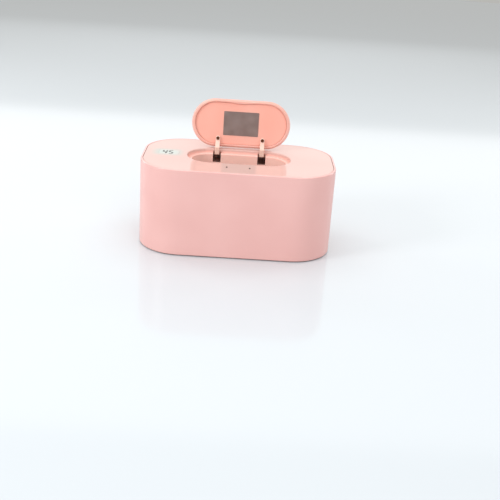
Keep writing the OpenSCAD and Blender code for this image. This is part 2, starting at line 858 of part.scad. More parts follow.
module bracket_screw_at(s) {
    color(steel) translate([s * bracket_screw_x, pin_y + bracket_mid, bracket_low])
        screw(bracket_screw, bracket_pilot_h);
}

module lid_pin() {
    l = arm_pitch + 2 * (ear_off + ear_t / 2 + pin_over);
    color(steel) bar_x(0, pin_y, pin_z, pin_d / 2, l);
}

module contact_pads() {
    face_t = 0.3;
    color("gold") translate([contact_x, body_d / 2 - skirt_in, contact_z + contact_h / 2]) {
        translate([0, face_t / 2, 0])
            cube([contact_w - 2 * contact_in, face_t, contact_h - 2 * contact_in], center = true);
        translate([0, -skirt_t / 2, 0])
            cube([contact_w - 4 * contact_in, skirt_t, 2 * contact_in], center = true);
    }
}

module display_ribbon() {
    w = 6;          // width of the cable
    run_in = 4;     // its run along the back, from the skirt
    start_y = 4;    // its end under the display, behind the display's middle
    end_l = 12;
    low = contact_z + contact_h / 2 - ribbon_t / 2;
    back = body_d / 2 - cavity_in;
    turn_out = 20;  // its turn from the display's middle
    turn_x = display_mid + turn_out;
    color("white") {
        translate([contact_x - w / 2, back - run_in, low]) cube([w, run_in, ribbon_t]);
        translate([turn_x - w / 2, back - run_in - w, low]) cube([contact_x - turn_x + w, w + eps, ribbon_t]);
        translate([turn_x - w / 2, display_y + start_y, low])
            cube([w, back - run_in - w - display_y - start_y + eps, ribbon_t]);
        translate([turn_x - end_l, display_y + start_y, low]) cube([end_l + w / 2, w, ribbon_t]);
        translate([turn_x - end_l, display_y + start_y, low]) cube([2, w, display_board_z - low]);
    }
}

// Lid: drawn shut about its pin, then turned to the open pose

module opened() {
    translate([0, pin_y, pin_z]) rotate([-open_turn, 0, 0]) children();
}

module rim_section() {
    difference() {
        polygon([
            [0, pin_drop],
            [-lid_draft, lid_low],
            [-lid_rim - lid_draft / 2, lid_low],
            [-lid_rim - lid_draft / 2, pin_drop]
        ]);
        translate([-lid_edge, pin_drop - lid_edge]) corner_cut(lid_edge);
    }
}

module rim_bump() {
    r = (pow(bump_w / 2, 2) + pow(bump_h, 2)) / (2 * bump_h);
    inner = lid_d / 2 - lid_rim - lid_draft / 2;
    intersection() {
        translate([0, -inner + bump_h - r, lid_low]) cylinder(r = r, h = lid_t - 1, $fn = 200);
        translate([-bump_w / 2, -inner - 1, lid_low]) cube([bump_w, bump_h + 1, lid_t - 1]);
    }
}

module lid_shell() {
    color(lid_pink) opened() translate([0, lid_mid, 0]) difference() {
        union() {
            sweep_stadium(lid_w, lid_d) rim_section();
            translate([0, 0, pin_drop - lid_skin]) linear_extrude(lid_skin)
                stadium(lid_w - 2 * lid_rim, lid_d - 2 * lid_rim);
            rim_bump();
            for (s = [-1, 1]) translate([s * arm_pitch / 2, pad_y - lid_mid, pad_top])
                cylinder(r = lid_boss_r, h = panel_t + eps);
        }
        for (s = [-1, 1]) translate([s * arm_pitch / 2, pad_y - lid_mid, pad_top - eps])
            cylinder(d = arm_screw_d + 2 * pilot_gap, h = 2);
    }
}

module lid_panel() {
    panel_gap = 0.1;
    edge = 2 * (lid_rim + lid_draft / 2 + panel_gap);
    color(panel_salmon) opened() translate([0, lid_mid, 0]) difference() {
        translate([0, 0, pad_top]) linear_extrude(panel_t) stadium(lid_w - edge, lid_d - edge);
        for (s = [-1, 1]) translate([s * arm_pitch / 2, pad_y - lid_mid, pad_top - eps])
            cylinder(r = lid_boss_r + 2 * panel_gap, h = panel_t + 2 * eps);
        translate([-bump_w / 2 - 1, -lid_d / 2, pad_top - eps])
            cube([bump_w + 2, edge / 2 + bump_h + 2 * panel_gap, panel_t + 2 * eps]);
    }
}

module foil_plate() {
    foil_t = 0.3;
    color("gray") opened() translate([0, lid_mid, pad_top - foil_t])
        rounded_plate(plate_w, plate_d, foil_t, 0.8);
}

// An arm's point, turned from the open pose to the shut one
function shut(p) = [
    p[0] * cos(open_turn) - p[1] * sin(open_turn),
    p[0] * sin(open_turn) + p[1] * cos(open_turn)
];

module hinge_arm(s) {
    low_elbow = shut([elbow_y, elbow_low]);
    high_elbow = shut([elbow_y, elbow_high]);
    heel = [pad_y + pad_len, pad_top - arm_t / 2 - heel_low];
    color(arm_cream) opened() translate([s * arm_pitch / 2, 0, 0]) difference() {
        union() {
            along_x(0, arm_w) {
                circle(hub_r);
                link([0, 0], low_elbow, arm_t);
                link(low_elbow, high_elbow, arm_t);
                link(high_elbow, heel, arm_t);
                translate([pad_y, pad_top - pad_t2]) square([pad_len, pad_t2]);
            }
            translate([0, pad_y, pad_top - pad_t2]) cylinder(d = arm_w, h = pad_t2);
        }
        bar_x(0, 0, 0, pin_d / 2 + run_gap, arm_w + 2);
        translate([0, pad_y, pad_top - pad_t2 - 1]) cylinder(d = arm_screw_d + 2 * pilot_gap, h = pad_t2 + 2);
    }
}

module arm_screw(s) {
    color(dark_steel) opened() translate([s * arm_pitch / 2, pad_y, pad_top - pad_t2])
        screw([arm_screw_d, arm_head_d, arm_head_h], pad_t2 + 1.8);
}

outer_shell();
base_plate();
for (i = [0:3]) {
    base_screws(i);
    board_screws(i);
}
for (i = [0:4]) rubber_foot(i);
wipe_tub();
heat_spreader();
heater_film();
insulation_pad();
thermistor();
thermal_cutoff();
control_board();
usb_shell();
usb_tongue();
power_coil();
terminal_block();
heater_leads();
rim_seal();
cover_hinge_pin(-1);  // cover_hinge_pin_left
cover_hinge_pin(1);  // cover_hinge_pin_right
contact_block();
signal_ribbon();
cover_deck();
cover_liner();
for (i = [0:5]) liner_screws(i);
display_lens();
display_module();
display_board();
touch_pillar();
light_pipe(-1);  // light_pipe_left
light_pipe(1);  // light_pipe_right
indicator_board();
hinge_bracket();
bracket_screw_at(-1);  // bracket_screw_left
bracket_screw_at(1);  // bracket_screw_right
lid_pin();
contact_pads();
display_ribbon();
lid_shell();
lid_panel();
foil_plate();
hinge_arm(-1);  // hinge_arm_left
hinge_arm(1);  // hinge_arm_right
arm_screw(-1);  // arm_screw_left
arm_screw(1);  // arm_screw_right
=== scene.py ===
# The look of a baby wipe warmer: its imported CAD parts, dressed, with finer pieces where the eye goes.
# Blender works in metres. The dictionaries hold millimetres, degrees and sRGB hex colours, except where a
# comment says otherwise.
import json
import math

import bmesh
import bpy
from mathutils import Matrix, Vector


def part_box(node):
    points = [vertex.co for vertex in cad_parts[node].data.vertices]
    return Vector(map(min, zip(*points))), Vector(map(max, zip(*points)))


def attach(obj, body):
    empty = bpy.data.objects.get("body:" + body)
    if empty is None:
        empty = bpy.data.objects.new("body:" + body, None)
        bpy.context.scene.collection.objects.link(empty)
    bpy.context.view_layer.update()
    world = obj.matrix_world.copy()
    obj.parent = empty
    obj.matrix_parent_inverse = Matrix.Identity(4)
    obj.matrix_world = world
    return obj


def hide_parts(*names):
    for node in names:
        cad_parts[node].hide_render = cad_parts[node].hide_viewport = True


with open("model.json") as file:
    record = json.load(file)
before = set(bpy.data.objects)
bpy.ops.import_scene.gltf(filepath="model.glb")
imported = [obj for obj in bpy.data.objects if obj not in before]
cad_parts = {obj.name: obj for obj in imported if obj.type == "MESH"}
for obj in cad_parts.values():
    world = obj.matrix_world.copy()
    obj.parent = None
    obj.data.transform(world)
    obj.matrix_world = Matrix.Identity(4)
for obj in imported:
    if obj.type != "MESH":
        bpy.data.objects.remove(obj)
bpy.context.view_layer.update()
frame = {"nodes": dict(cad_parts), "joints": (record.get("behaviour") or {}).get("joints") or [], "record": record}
mm = 0.001


viewCamera = {
    "lens": 60.05,
    "sensor": 36,
    "clip": (0.05, 60),  # metres
    "distance": 1068.4,
    "elevation": 22.10,
    "azimuth": -0.95,
    "roll": 3.86,
    "target": (21.09, 0.0, -16.04),
}


def makeCamera(values):
    el = math.radians(values["elevation"])
    az = math.radians(values["azimuth"])
    target = Vector(values["target"]) * mm
    away = Vector((math.sin(az) * math.cos(el), -math.cos(az) * math.cos(el), math.sin(el)))
    camera = bpy.data.objects.new("photoCamera", bpy.data.cameras.new("photoCamera"))
    bpy.context.scene.collection.objects.link(camera)
    camera.data.lens = values["lens"]
    camera.data.sensor_width = values["sensor"]
    camera.data.clip_start, camera.data.clip_end = values["clip"]
    place = Matrix.Translation(target + away * values["distance"] * mm)
    roll = Matrix.Rotation(math.radians(values["roll"]), 4, "Z")
    camera.matrix_world = place @ (away.to_track_quat("Z", "Y").to_matrix().to_4x4() @ roll)
    bpy.context.scene.camera = camera


studioLamps = {  # metres and watts
    "topSoftbox": {"place": (0.0, 0.1, 1.5), "aim": (0, 0, 0.05), "size": (2.0, 1.2), "power": 9.6},
    "leftSoftbox": {"place": (-1.5, -0.9, 0.9), "aim": (0, 0, 0.06), "size": (0.5, 0.5), "power": 12.2},
    "frontFill": {"place": (0.6, -1.55, 1.15), "aim": (0, 0, 0.06), "size": (1.2, 1.2), "power": 7.8},
    # a wide white panel behind, which the polished deck and the floor mirror
    "backPanel": {"place": (0.0, 1.65, 0.80), "aim": (0, 0, 0.10), "size": (2.2, 1.1), "power": 5.6},
    # narrow strips behind either side draw the pale line along the rims
    "edgeStripLeft": {"place": (-1.25, 0.8, 0.45), "aim": (0, 0, 0.09), "size": (0.35, 0.8), "power": 3.2},
    "edgeStripRight": {"place": (1.25, 0.8, 0.45), "aim": (0, 0, 0.09), "size": (0.35, 0.8), "power": 2.5},
}


def makeLamps(lamps):
    for name, values in lamps.items():
        lamp = bpy.data.objects.new(name, bpy.data.lights.new(name, "AREA"))
        bpy.context.scene.collection.objects.link(lamp)
        lamp.data.shape = "RECTANGLE"
        lamp.data.size, lamp.data.size_y = values["size"]
        lamp.data.energy = values["power"]
        lamp.location = values["place"]
        away = Vector(values["place"]) - Vector(values["aim"])
        lamp.rotation_euler = away.to_track_quat("Z", "Y").to_euler()


def hexColour(text):  # sRGB hex to linear
    parts = [int(text[i : i + 2], 16) / 255 for i in (0, 2, 4)]
    return tuple(p / 12.92 if p <= 0.04045 else ((p + 0.055) / 1.055) ** 2.4 for p in parts) + (1.0,)


def perMetre(sizeInMm):
    return 1 / (sizeInMm * mm)


def addNode(tree, kind, values=None, links=None, **settings):
    node = tree.nodes.new(kind)
    for name, value in settings.items():
        setattr(node, name, value)
    for socket, value in (values or {}).items():
        node.inputs[socket].default_value = value
    for socket, source in (links or {}).items():
        tree.links.new(source, node.inputs[socket])
    return node


shaderSockets = {  # the fixed numbers that a material may give its shader
    "rough": "Roughness",
    "metallic": "Metallic",
    "ior": "IOR",
    "specular": "Specular IOR Level",
    "sheen": "Sheen Weight",
    "subsurface": "Subsurface Weight",
}


# octaves of each noise, and what most of its values lie between
grainNoise = {"detail": 3.0, "span": (0.3, 0.7)}
driftNoise = {"detail": 1.5, "span": (0.35, 0.65)}


def startMaterial(name, values):
    # places are object coordinates, in metres
    material = bpy.data.materials.new(name)
    material.use_nodes = True
    material.diffuse_color = hexColour(values["colour"])
    tree = material.node_tree
    shader = tree.nodes["Principled BSDF"]
    shader.inputs["Base Color"].default_value = hexColour(values["colour"])
    for key, socket in shaderSockets.items():
        if key in values:
            shader.inputs[socket].default_value = values[key]
    places = addNode(tree, "ShaderNodeTexCoord").outputs["Object"]
    return material, tree, shader, places


def addGrain(tree, shader, places, values):
    # surface texture as bump, drawn out along an axis where the surface was rolled, ground or drawn
    stretch = values.get("stretch", (1, 1, 1))
    moved = addNode(tree, "ShaderNodeMapping", {"Scale": stretch}, {"Vector": places}).outputs["Vector"]
    noise = {"Scale": perMetre(values["grain"]), "Detail": grainNoise["detail"]}
    grain = addNode(tree, "ShaderNodeTexNoise", noise, {"Vector": moved}).outputs["Fac"]
    height = {"Strength": 1.0, "Distance": values["depth"] * mm}
    bump = addNode(tree, "ShaderNodeBump", height, {"Height": grain})
    tree.links.new(bump.outputs["Normal"], shader.inputs["Normal"])
    return grain


def addDrift(tree, places, values):
    # a slow drift of colour between two close shades
    noise = {"Scale": perMetre(values["drift"]), "Detail": driftNoise["detail"]}
    slow = addNode(tree, "ShaderNodeTexNoise", noise, {"Vector": places}).outputs["Fac"]
    low, high = driftNoise["span"]
    share = addNode(tree, "ShaderNodeMapRange", {"From Min": low, "From Max": high}, {"Value": slow})
    # a colour mix takes its share on socket 0, its colours on 6 and 7 and gives its result on 2
    mix = addNode(
        tree,
        "ShaderNodeMix",
        {6: hexColour(values["colour"]), 7: hexColour(values["shade"])},
        {0: share.outputs["Result"]},
        data_type="RGBA",
    )
    return mix.outputs[2]


def addPolish(tree, shader, grain, values):
    # roughness that follows the grain, round its middle value
    rough, spread = values["rough"], values["spread"]
    low, high = grainNoise["span"]
    span = {"From Min": low, "From Max": high, "To Min": rough - spread, "To Max": rough + spread}
    polish = addNode(tree, "ShaderNodeMapRange", span, {"Value": grain})
    tree.links.new(polish.outputs["Result"], shader.inputs["Roughness"])


def plainFinish(name, values):
    # a moulded, cast or metal surface of one colour
    material, tree, shader, places = startMaterial(name, values)
    grain = addGrain(tree, shader, places, values)
    tree.links.new(addDrift(tree, places, values), shader.inputs["Base Color"])
    addPolish(tree, shader, grain, values)
    return material


shellAbs = {  # satin injection-moulded ABS: fine spark-eroded skin, soft highlight
    "colour": "eebbb5",
    "shade": "eab5af",
    "rough": 0.34,
    "ior": 1.53,
    "grain": 0.35,  # real grain is near 0.1, drawn coarser so that it shows
    "depth": 0.006,
    "drift": 60,
    "spread": 0.03,
    "rimRough": 0.12,  # the rim is polished with the deck
    "rimBand": (103.4, 105.4),  # the polish grows between these heights
}


def satinShell(name, values):
    material, tree, shader, places = startMaterial(name, values)
    grain = addGrain(tree, shader, places, values)
    tree.links.new(addDrift(tree, places, values), shader.inputs["Base Color"])
    height = addNode(tree, "ShaderNodeSeparateXYZ", links={0: places}).outputs[2]
    low, high = (h * mm for h in values["rimBand"])
    base = addNode(
        tree,
        "ShaderNodeMapRange",
        {"From Min": low, "From Max": high, "To Min": values["rough"], "To Max": values["rimRough"]},
        {"Value": height},
        interpolation_type="SMOOTHSTEP",
    )
    rough = addNode(
        tree,
        "ShaderNodeMath",
        {1: values["spread"]},
        {0: grain, 2: base.outputs["Result"]},
        operation="MULTIPLY_ADD",
    )
    tree.links.new(rough.outputs[0], shader.inputs["Roughness"])
    return material


deckAbs = {  # the same resin off a polished tool: wet gloss that mirrors the lid
    "colour": "d8b3aa",
    "shade": "d6afa6",
    "rough": 0.07,
    "ior": 1.53,
    "grain": 1.4,
    "depth": 0.002,
    "drift": 80,
    "spread": 0.015,
    "paintedRecessLight": "fdc8bb",  # painted light: below the deck the walls turn paler and pinker, standing in for light bounced into the recess
    "deep": (105.6, 100.0),  # it grows between these heights
    "paintedWellLight": "fecfc2",  # painted light: the well's walls are paler again
    "well": (100.4, 98.4),
}
displayAcrylic = {  # milky acrylic tinted as the deck, flush with it, with no painted recess light, and painted paler where the display's light comes through
    **deckAbs,
    "paintedRecessLight": deckAbs["colour"],
    "paintedWellLight": deckAbs["colour"],
}
displayGlow = {  # painted light of the display: a pale patch in the base colour, as if spread by the milky face and the deck round it
    "middle": (-87.6, 3.1),
    "core": (8.0, 3.0),  # half the size of the fully lit patch
    "fade": (24.3, 21.3),  # and of the whole patch
    "above": 104.5,  # only on top of the cover
    "tint": "b3bdb5",
    "lensTint": "bdc6bf",  # the face itself is a shade whiter
}


def fadeOut(tree, value, middle, core, fade):
    # 1 within the core, 0 beyond the fade, along one axis
    away = addNode(tree, "ShaderNodeMath", {1: -middle * mm}, {0: value}, operation="ADD")
    away = addNode(tree, "ShaderNodeMath", links={0: away.outputs[0]}, operation="ABSOLUTE")
    span = addNode(
        tree,
        "ShaderNodeMapRange",
        {"From Min": core * mm, "From Max": fade * mm, "To Min": 1.0, "To Max": 0.0},
        {"Value": away.outputs[0]},
        interpolation_type="SMOOTHSTEP",
    )
    return span.outputs["Result"]


def polishedDeck(name, values, glow, tint="tint"):
    material, tree, shader, places = startMaterial(name, values)
    grain = addGrain(tree, shader, places, values)
    mix = addDrift(tree, places, values)
    axes = addNode(tree, "ShaderNodeSeparateXYZ", links={0: places}).outputs
    # painted light: by height, the recess and then the well are tinted paler, standing in for bounced light
    for paintedLightKey, span in (("paintedRecessLight", values["deep"]), ("paintedWellLight", values["well"])):
        depth = addNode(
            tree,
            "ShaderNodeMapRange",
            {"From Min": span[0] * mm, "From Max": span[1] * mm},
            {"Value": axes[2]},
        )
        mix = addNode(
            tree,
            "ShaderNodeMix",
            {7: hexColour(values[paintedLightKey])},
            {0: depth.outputs["Result"], 6: mix},
            data_type="RGBA",
        ).outputs[2]
    # painted glow: a soft-edged pale patch round the display, in the base colour
    across, along = (
        fadeOut(tree, axes[i], glow["middle"][i], glow["core"][i], glow["fade"][i]) for i in (0, 1)
    )
    above = {1: glow["above"] * mm}
    onTop = addNode(tree, "ShaderNodeMath", above, {0: axes[2]}, operation="GREATER_THAN")
    patch = addNode(tree, "ShaderNodeMath", links={0: across, 1: along}, operation="MULTIPLY").outputs[0]
    patch = addNode(tree, "ShaderNodeMath", links={0: patch, 1: onTop.outputs[0]}, operation="MULTIPLY")
    tinted = addNode(
        tree,
        "ShaderNodeMix",
        {7: hexColour(glow[tint])},
        {0: patch.outputs[0], 6: mix},
        data_type="RGBA",
    )
    tree.links.new(tinted.outputs[2], shader.inputs["Base Color"])
    addPolish(tree, shader, grain, values)
    return material


lidAbs = {  # glossy pink ABS with a little light in its depth
    "colour": "f3b9ac",
    "shade": "f0b0a1",
    "rough": 0.20,
    "ior": 1.53,
    "grain": 1.2,
    "depth": 0.002,
    "drift": 50,
    "spread": 0.02,
    "subsurface": 0.05,
}
panelAbs = {  # salmon ABS insert, high gloss with faint waviness from a thin moulding
    "colour": "fdbcab",
    "shade": "fcb4a2",
    "rough": 0.13,
    "ior": 1.54,
    "grain": 6.0,
    "depth": 0.02,
    "drift": 45,
    "spread": 0.02,
}
armNylon = {  # cream glass-filled nylon: satin, slightly mealy
    "colour": "f4cfbf",
    "shade": "f0c7b6",
    "rough": 0.28,
    "ior": 1.53,
    "grain": 0.5,
    "depth": 0.008,
    "drift": 12,
    "spread": 0.04,
}
tubPolypropylene = {  # milky moulded polypropylene, waxy
    "colour": "efe9e2",
    "shade": "e9e1d8",
    "rough": 0.36,
    "ior": 1.49,
    "grain": 0.9,
    "depth": 0.008,
    "drift": 40,
    "spread": 0.04,
    "subsurface": 0.08,
}
whiteNylon = {  # small moulded nylon blocks, dry and matt
    "colour": "e8e4d8",
    "shade": "ddd7c6",
    "rough": 0.42,
    "ior": 1.53,
    "grain": 0.4,
    "depth": 0.006,
    "drift": 10,
    "spread": 0.04,
}
blackEpoxy = {  # cast epoxy and black contact plastic: dull black
    "colour": "161617",
    "shade": "202022",
    "rough": 0.38,
    "ior": 1.55,
    "grain": 0.4,
    "depth": 0.006,
    "drift": 8,
    "spread": 0.05,
}
ribbonPvc = {  # extruded ribbon cable sleeve: off-white, slightly greasy
    "colour": "e9e8e4",
    "shade": "dcdad4",
    "rough": 0.45,
    "ior": 1.52,
    "grain": 0.8,
    "depth": 0.01,
    "drift": 9,
    "spread": 0.04,
}
smokedAcrylic = {  # smoked acrylic light pipes, dull and near black while unlit
    "colour": "1a100d",
    "shade": "130b09",
    "rough": 0.45,
    "ior": 1.40,
    "specular": 0.35,
    "grain": 0.6,
    "depth": 0.002,
    "drift": 3,
    "spread": 0.02,
}
digitInk = {  # screen ink of the display's segments: dark grey under gloss
    "colour": "323532",
    "shade": "2c2f2c",
    "rough": 0.12,
    "ior": 1.49,
    "grain": 0.5,
    "depth": 0.002,
    "drift": 3,
    "spread": 0.03,
}
ferriteCore = {  # pressed ferrite with a lacquered winding: charcoal, even
    "colour": "47484c",
    "shade": "3a3b3f",
    "rough": 0.50,
    "ior": 1.6,
    "grain": 0.3,
    "depth": 0.02,
    "drift": 3,
    "spread": 0.05,
}
siliconeRubber = {  # compression-moulded feet and seal: matt, faintly dusty
    "colour": "8b8580",
    "shade": "7f7974",
    "rough": 0.70,
    "ior": 1.43,
    "sheen": 0.15,
    "grain": 0.25,
    "depth": 0.015,
    "drift": 12,
    "spread": 0.06,
}
leadSleeve = {  # red silicone sleeve on the heater's wires: soft, low gloss
    "colour": "b03a30",
    "shade": "a0322a",
    "rough": 0.55,
    "ior": 1.43,
    "grain": 0.4,
    "depth": 0.01,
    "drift": 4,
    "spread": 0.05,
}
zincSteel = {  # zinc-plated steel screws: cold, bright, slightly cloudy
    "colour": "c4c6ca",
    "shade": "b2b4b8",
    "rough": 0.30,
    "metallic": 1.0,
    "grain": 0.3,
    "depth": 0.004,
    "drift": 3,
    "spread": 0.08,
}
groundSteel = {  # centreless-ground pins: fine rings round the pin
    "colour": "cfd0d3",
    "shade": "bfc0c4",
    "rough": 0.22,
    "metallic": 1.0,
    "grain": 0.25,
    "depth": 0.003,
    "stretch": (1, 0.08, 0.08),
    "drift": 6,
    "spread": 0.06,
}
blackOxide = {  # black-oxide screws: oily, and brown where the light catches them
    "colour": "7d4c35",
    "shade": "633823",
    "rough": 0.40,
    "metallic": 0.7,
    "grain": 0.25,
    "depth": 0.004,
    "drift": 1.5,
    "spread": 0.06,
}
rolledAluminium = {  # mill-finish sheet: rolling lines along X
    "colour": "d4d6d9",
    "shade": "c8cace",
    "rough": 0.34,
    "metallic": 1.0,
    "grain": 0.5,
    "depth": 0.004,
    "stretch": (0.04, 1, 1),
    "drift": 40,
    "spread": 0.07,
}
satinFoil = {  # aluminium foil plate stock: soft grey, fine matt grain
    "colour": "9a8883",
    "shade": "8f7c77",
    "rough": 0.42,
    "metallic": 0.55,
    "grain": 0.5,
    "depth": 0.006,
    "stretch": (0.15, 1, 1),
    "drift": 14,
    "spread": 0.05,
}
platedSteel = {  # nickel-plated drawn inlet shell: warm, bright, faint draw lines
    "colour": "c9c7c3",
    "shade": "bcb9b4",
    "rough": 0.24,
    "metallic": 1.0,
    "grain": 0.3,
    "depth": 0.003,
    "stretch": (1, 0.1, 1),
    "drift": 4,
    "spread": 0.05,
}
contactGold = {  # flash gold over nickel: thin, pale gold
    "colour": "dcb765",
    "shade": "cfa751",
    "rough": 0.26,
    "metallic": 1.0,
    "grain": 0.25,
    "depth": 0.003,
    "stretch": (1, 1, 0.1),
    "drift": 2,
    "spread": 0.05,
}


needledFelt = {  # needled grey polyester felt: matt, its fibres drawn 0.6 mm apart so that they show
    "colour": "8f8f8e",
    "shade": "7d7d7d",
    "rough": 0.95,
    "sheen": 0.3,
    "fibres": ((1, 0.12, 0.5), (0.12, 1, 0.5)),  # how each layer is drawn out
    "grain": 0.6,
    "depth": 0.15,
    "drift": 5,
}


def feltPad(name, values):
    # crossed fibres: two stretched noises, the higher one on top
    material, tree, shader, places = startMaterial(name, values)
    heights = []
    for stretch in values["fibres"]:
        moved = addNode(tree, "ShaderNodeMapping", {"Scale": stretch}, {"Vector": places}).outputs["Vector"]
        fibre = addNode(tree, "ShaderNodeTexNoise", {"Scale": perMetre(values["grain"])}, {"Vector": moved})
        heights.append(fibre.outputs["Fac"])
    top = addNode(tree, "ShaderNodeMath", links={0: heights[0], 1: heights[1]}, operation="MAXIMUM")
    bump = addNode(tree, "ShaderNodeBump", {"Distance": values["depth"] * mm}, {"Height": top.outputs[0]})
    tree.links.new(bump.outputs["Normal"], shader.inputs["Normal"])
    tree.links.new(addDrift(tree, places, values), shader.inputs["Base Color"])
    return material


heaterFilm = {  # amber polyimide film with an etched foil trace under it
    "colour": "c9761f",
    "trace": "a35a2c",
    "rough": 0.22,
    "ior": 1.70,
    "pitch": 5.0,
    "nodeTurn": 20,  # radians that the wave node turns in one unit
    "edge": (0.45, 0.55),  # of the wave, where the film turns to trace
    "depth": 0.03,
}


def etchedFilm(name, values):
    material, tree, shader, places = startMaterial(name, values)
    # the trace runs to and fro along X, one run per pitch across Y
    scale = perMetre(values["pitch"]) * math.tau / values["nodeTurn"]
    bands = addNode(
        tree,
        "ShaderNodeTexWave",
        {"Scale": scale, "Distortion": 0.0, "Detail": 0.0},
        {"Vector": places},
        bands_direction="Y",
        wave_profile="SIN",
    )
    low, high = values["edge"]
    trace = addNode(
        tree,
        "ShaderNodeMapRange",
        {"From Min": low, "From Max": high},
        {"Value": bands.outputs["Fac"]},
    ).outputs["Result"]
    mix = addNode(
        tree,
        "ShaderNodeMix",
        {6: hexColour(values["colour"]), 7: hexColour(values["trace"])},
        {0: trace},
        data_type="RGBA",
    )
    tree.links.new(mix.outputs[2], shader.inputs["Base Color"])
    bump = addNode(tree, "ShaderNodeBump", {"Distance": values["depth"] * mm}, {"Height": trace})
    tree.links.new(bump.outputs["Normal"], shader.inputs["Normal"])
    return material


solderMask = {  # green solder mask over copper tracks, drawn 2.4 mm apart so that they show
    "colour": "1f6b45",
    "track": "2f8357",
    "rough": 0.32,
    "ior": 1.55,
    "pitch": 2.4,
    "width": 0.12,  # of a pitch
    "softEdge": 0.1,
    "run": 3.2,  # pitches from one crossing track to the next
    "offset": 0.37,
    "offsetEvery": 3,
    "depth": 0.035,
}


def circuitBoard(name, values):
    # the tracks are the joints of a brick pattern
    material, tree, shader, places = startMaterial(name, values)
    tracks = addNode(
        tree,
        "ShaderNodeTexBrick",
        {
            "Scale": perMetre(values["pitch"]),
            "Mortar Size": values["width"],
            "Mortar Smooth": values["softEdge"],
            "Brick Width": values["run"],
            "Row Height": 1.0,
        },
        {"Vector": places},
        offset=values["offset"],
        offset_frequency=values["offsetEvery"],
    ).outputs["Fac"]
    mix = addNode(
        tree,
        "ShaderNodeMix",
        {6: hexColour(values["colour"]), 7: hexColour(values["track"])},
        {0: tracks},
        data_type="RGBA",
    )
    tree.links.new(mix.outputs[2], shader.inputs["Base Color"])
    bump = addNode(tree, "ShaderNodeBump", {"Distance": values["depth"] * mm}, {"Height": tracks})
    tree.links.new(bump.outputs["Normal"], shader.inputs["Normal"])
    return material


def makeMaterials():
    return {
        "shell_pink": satinShell("satinMouldedAbs", shellAbs),
        "deck_pink": polishedDeck("polishedMouldedAbs", deckAbs, displayGlow),
        "lid_pink": plainFinish("glossMouldedAbs", lidAbs),
        "panel_salmon": plainFinish("highGlossAbsInsert", panelAbs),
        "arm_cream": plainFinish("satinMouldedNylon", armNylon),
        "screw_steel": plainFinish("zincPlatedSteel", zincSteel),
        "dark_screw": plainFinish("blackOxideSteel", blackOxide),
        "pin_steel": plainFinish("groundSteel", groundSteel),
        "rubber_grey": plainFinish("mouldedSilicone", siliconeRubber),
        "tub_white": plainFinish("mouldedPolypropylene", tubPolypropylene),
        "spreader": plainFinish("rolledAluminium", rolledAluminium),
        "film_amber": etchedFilm("etchedPolyimideFilm", heaterFilm),
        "pad_grey": feltPad("needledFelt", needledFelt),
        "sensor_black": plainFinish("castEpoxy", blackEpoxy),
        "cutoff_white": plainFinish("mouldedNylonBlock", whiteNylon),
        "board_green": circuitBoard("solderMaskedBoard", solderMask),
        "plug_steel": plainFinish("nickelPlatedSteel", platedSteel),
        "coil_grey": plainFinish("pressedFerrite", ferriteCore),
        "terminal_ivory": plainFinish("ivoryNylonTerminal", whiteNylon),
        "lead_red": plainFinish("siliconeSleeve", leadSleeve),
        "ribbon_white": plainFinish("pvcRibbonCable", ribbonPvc),
        "lens_white": polishedDeck("diffusingAcrylic", displayAcrylic, displayGlow, "lensTint"),
        "contact_gold": plainFinish("flashGold", contactGold),
        "foil_grey": plainFinish("satinFoil", satinFoil),
        "pipe_clear": plainFinish("smokedAcrylic", smokedAcrylic),
    }


def dress(thing, material):
    if not thing.material_slots:
        thing.data.materials.append(material)
    for place in thing.material_slots:
        place.material = material


slotMaterials = makeMaterials()
for part in frame["record"]["subparts"]:
    dress(frame["nodes"][part["node"]], slotMaterials[part["material_slot"]])
print("dressed", len(frame["nodes"]), "CAD parts")


def meshPiece(name, grid, slot, smoothBelow=40, material=None, weld=0.0005):
    # grid is a bmesh in millimetres
    bmesh.ops.remove_doubles(grid, verts=grid.verts, dist=weld)
    bmesh.ops.recalc_face_normals(grid, faces=grid.faces)
    bmesh.ops.scale(grid, vec=(mm, mm, mm), verts=grid.verts)
    data = bpy.data.meshes.new(name)
    grid.to_mesh(data)
    grid.free()
    data.shade_smooth()
    data.set_sharp_from_angle(angle=math.radians(smoothBelow))
    piece = bpy.data.objects.new(name, data)
    bpy.context.scene.collection.objects.link(piece)
    dress(piece, material or slotMaterials[slot])
    return piece


def loft(grid, rings):
    # joins closed rings of equal length with quads and caps both ends
    made = [[grid.verts.new(point) for point in ring] for ring in rings]
    count = len(made[0])
    for low, high in zip(made, made[1:]):
        for i in range(count):
            j = (i + 1) % count
            grid.faces.new((low[i], low[j], high[j], high[i]))
    grid.faces.new(made[0][::-1])
    grid.faces.new(made[-1])


def arcSteps(start, end, steps):
    return [math.radians(start + (end - start) * i / steps) for i in range(steps + 1)]


def circleSteps(count):
    return arcSteps(0, 360 - 360 / count, count - 1)


def stadiumRing(width, depth, inset, z, alongSide, alongEnd, shift, endInset):
    # an outline with round ends, set in by an inset; shift moves a point of the front side inwards
    r = depth / 2 - inset
    half = (width - depth) / 2 - endInset
    ring = []
    for i in range(alongSide):
        x = -half + 2 * half * i / alongSide
        ring.append((x, -r + shift(x), z))
    for i in range(alongEnd):
        a = -math.pi / 2 + math.pi * i / alongEnd
        ring.append((half + r * math.cos(a), r * math.sin(a), z))
    for i in range(alongSide):
        ring.append((half - 2 * half * i / alongSide, r, z))
    for i in range(alongEnd):
        a = math.pi / 2 + math.pi * i / alongEnd
        ring.append((-half + r * math.cos(a), r * math.sin(a), z))
    return ring


lidFlip = next(joint for joint in frame["joints"] if joint["name"] == "lid_flip")
lidPin = Vector(lidFlip["pos_m"])
lidOpen = max(abs(limit) for limit in lidFlip["range_deg"])

